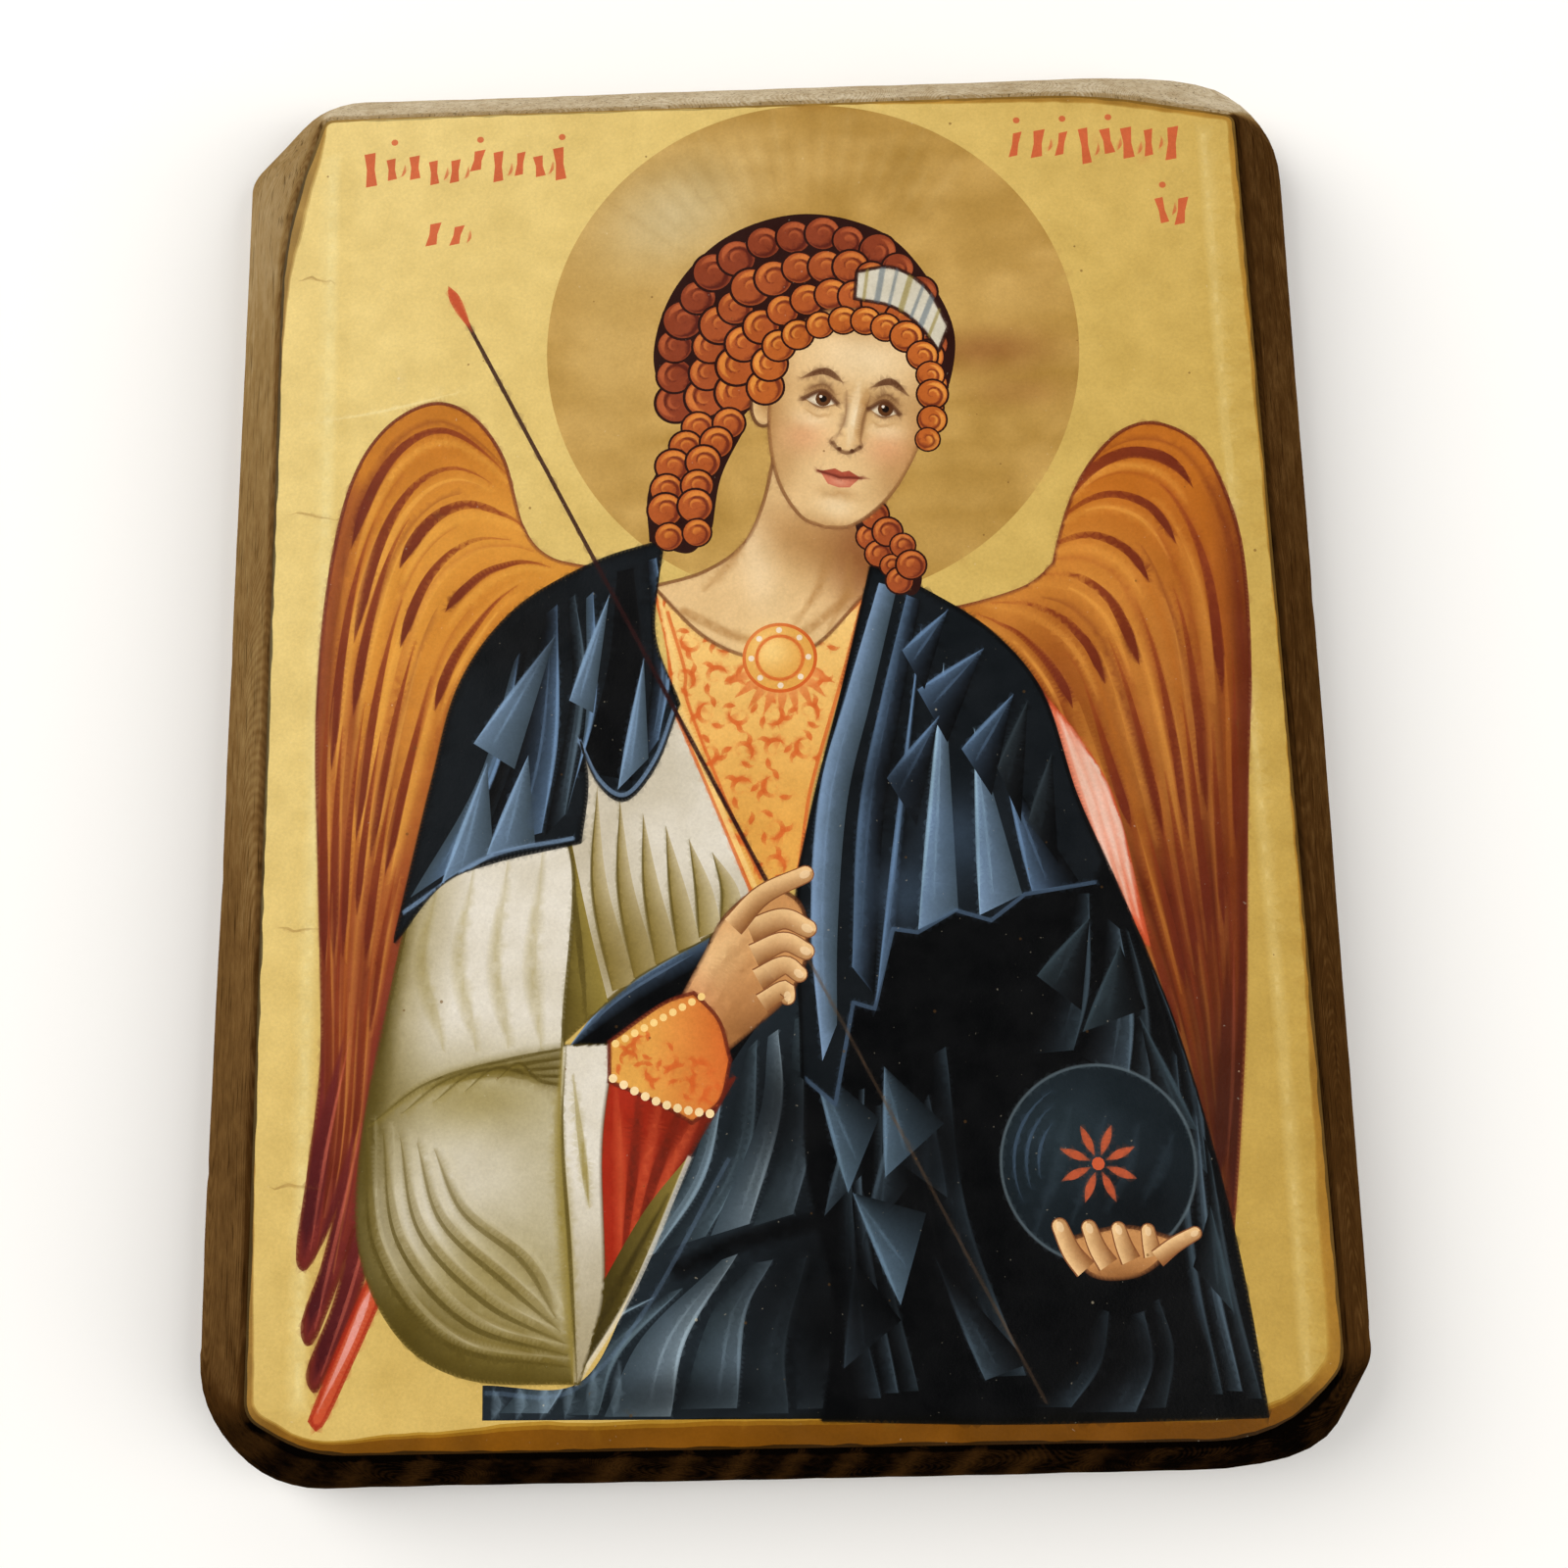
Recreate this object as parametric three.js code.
// Icon panel: a varnished paper print glued to a thick wooden board with sloping sides.
// Millimetres, lying on its back: +X to the picture's right, +Y to its top, +Z out of the picture.
// The origin is the centre of the board's box, on the flat back.
import * as THREE from "three";

// Driving dimensions
const PRINT_WIDTH = 150;
const PRINT_HEIGHT = 200;
const PAPER_THICKNESS = 0.3;
const PAPER_MARGIN = 0.6; // strip of stained wood left bare round the sheet
const BOARD_THICKNESS = 18;
const UPRIGHT_EDGE = 6; // height of the upright edge below the slopes
const SLOPE_BULGE = 0.05; // how far the slopes swell out half way up, as a share of their run
const LEVELS = 6; // equal steps in height, one of which falls on the top of the upright edge
const CURVE_STEPS = 6; // straight pieces in each softened bend
const FRONT_DROP = 1.2; // how much lower the front face's bottom right corner lies than its bottom left

// How far each slope runs out from the front face. The board was shaped by hand, so the two ends
// of a side differ: "top" and "bottom" name the end of a long side, "left" and "right" of a short one.
const RUN = {
  left: { top: 9.1, bottom: 10.5 },
  right: { top: 10.3, bottom: 7.2 },
  top: { left: 10.8, right: 10.6 },
  bottom: { left: 6.5, right: 7.2 },
};

const halfWidth = PRINT_WIDTH / 2;
const halfHeight = PRINT_HEIGHT / 2;

const evenly = (length) => [length, length];

// The four corners of an outline run counter-clockwise from the bottom left. A corner is clipped
// at two distances from its tip, on the side that comes in and on the side that goes out, and each
// of the two bends that the clip makes is softened over a length before it and a length after it.
const frontCorners = [
  { tip: [-halfWidth, -halfHeight], clip: [5, 9], soften: [evenly(2.4), evenly(5)] },
  { tip: [halfWidth, -halfHeight - FRONT_DROP], clip: [9.4, 9.4], soften: [evenly(9), evenly(2.4)] },
  { tip: [halfWidth, halfHeight], clip: [4.6, 22], soften: [evenly(1.6), evenly(9)] },
  { tip: [-halfWidth, halfHeight], clip: [6, 19], soften: [evenly(1.6), evenly(12)] },
];

const backCorners = [
  {
    tip: [-halfWidth - RUN.left.bottom, -halfHeight - RUN.bottom.left],
    clip: [11.1, 11.1],
    soften: [evenly(7.5), evenly(7.5)],
  },
  {
    tip: [halfWidth + RUN.right.bottom, -halfHeight - RUN.bottom.right],
    clip: [9.4, 14.6],
    soften: [[18, 7], evenly(1.8)],
  },
  {
    tip: [halfWidth + RUN.right.top, halfHeight + RUN.top.right],
    clip: [11.7, 11.7],
    soften: [evenly(8), [6, 22]],
  },
  {
    tip: [-halfWidth - RUN.left.top, halfHeight + RUN.top.left],
    clip: [12.3, 14],
    soften: [evenly(6.5), evenly(1.8)],
  },
];

const towards = (from, to, distance) =>
  from.clone().add(to.clone().sub(from).setLength(distance));

// The bends of an outline: two for each clipped corner, each with its softening lengths.
function bendsOf(corners) {
  const tips = corners.map(({ tip }) => new THREE.Vector2(...tip));
  const count = tips.length;
  return corners.flatMap(({ clip, soften }, i) => [
    { at: towards(tips[i], tips[(i + count - 1) % count], clip[0]), soften: soften[0] },
    { at: towards(tips[i], tips[(i + 1) % count], clip[1]), soften: soften[1] },
  ]);
}

// The closed outline, straight between its bends, as the points of a THREE.Path.
function outlineOf(corners) {
  const bends = bendsOf(corners);
  const path = new THREE.Path();
  bends.forEach(({ at, soften }, i) => {
    const before = bends[(i + bends.length - 1) % bends.length].at;
    const after = bends[(i + 1) % bends.length].at;
    const start = towards(at, before, soften[0]);
    const end = towards(at, after, soften[1]);
    if (i === 0) path.moveTo(start.x, start.y);
    else path.lineTo(start.x, start.y);
    path.quadraticCurveTo(at.x, at.y, end.x, end.y);
  });
  return path.getPoints(CURVE_STEPS);
}

// How far a point of the side has come in from the back outline to the front one, at a height.
function comeIn(height) {
  const climb = THREE.MathUtils.clamp(
    (height - UPRIGHT_EDGE) / (BOARD_THICKNESS - UPRIGHT_EDGE),
    0,
    1,
  );
  return climb - SLOPE_BULGE * Math.sin(Math.PI * climb);
}

// The board: the back outline drawn up to the front, with each level moved in towards the front outline.
function boardGeometry(back, front) {
  const geometry = new THREE.ExtrudeGeometry(new THREE.Shape(back), {
    depth: BOARD_THICKNESS,
    steps: LEVELS,
    bevelEnabled: false,
  });
  const position = geometry.getAttribute("position");
  const point = new THREE.Vector2();
  for (let i = 0; i < position.count; i++) {
    point.set(position.getX(i), position.getY(i));
    const place = back.reduce(
      (best, p, k) => (p.distanceToSquared(point) < back[best].distanceToSquared(point) ? k : best),
      0,
    );
    point.lerpVectors(back[place], front[place], comeIn(position.getZ(i)));
    position.setXY(i, point.x, point.y);
  }
  geometry.computeVertexNormals();
  return geometry;
}

// The sheet: the front outline less the bare margin, drawn up by the paper's thickness.
function sheetGeometry(front) {
  const narrower = 1 - PAPER_MARGIN / halfWidth;
  const shorter = 1 - PAPER_MARGIN / halfHeight;
  const edge = front.map(({ x, y }) => new THREE.Vector2(x * narrower, y * shorter));
  return new THREE.ExtrudeGeometry(new THREE.Shape(edge), {
    depth: PAPER_THICKNESS,
    bevelEnabled: false,
  });
}

function piece(name, geometry, material) {
  const mesh = new THREE.Mesh(geometry, new THREE.MeshStandardMaterial(material));
  mesh.name = name;
  return mesh;
}

const front = outlineOf(frontCorners);
const back = outlineOf(backCorners);

const board = piece("wooden_board", boardGeometry(back, front), {
  color: 0x6a4b28,
  roughness: 0.6,
  metalness: 0,
});

const picture = piece("printed_picture", sheetGeometry(front), {
  color: 0xd8b765,
  roughness: 0.4,
  metalness: 0,
});
picture.position.z = BOARD_THICKNESS;

// The outlines are drawn about the middle of the print; the panel's origin is the middle of the board.
const centre = new THREE.Box2().setFromPoints(back).getCenter(new THREE.Vector2());
const panel = new THREE.Group();
panel.position.set(-centre.x, -centre.y, 0);
panel.add(board, picture);

const iconPanel = new THREE.Group();
iconPanel.add(panel);

export default iconPanel;
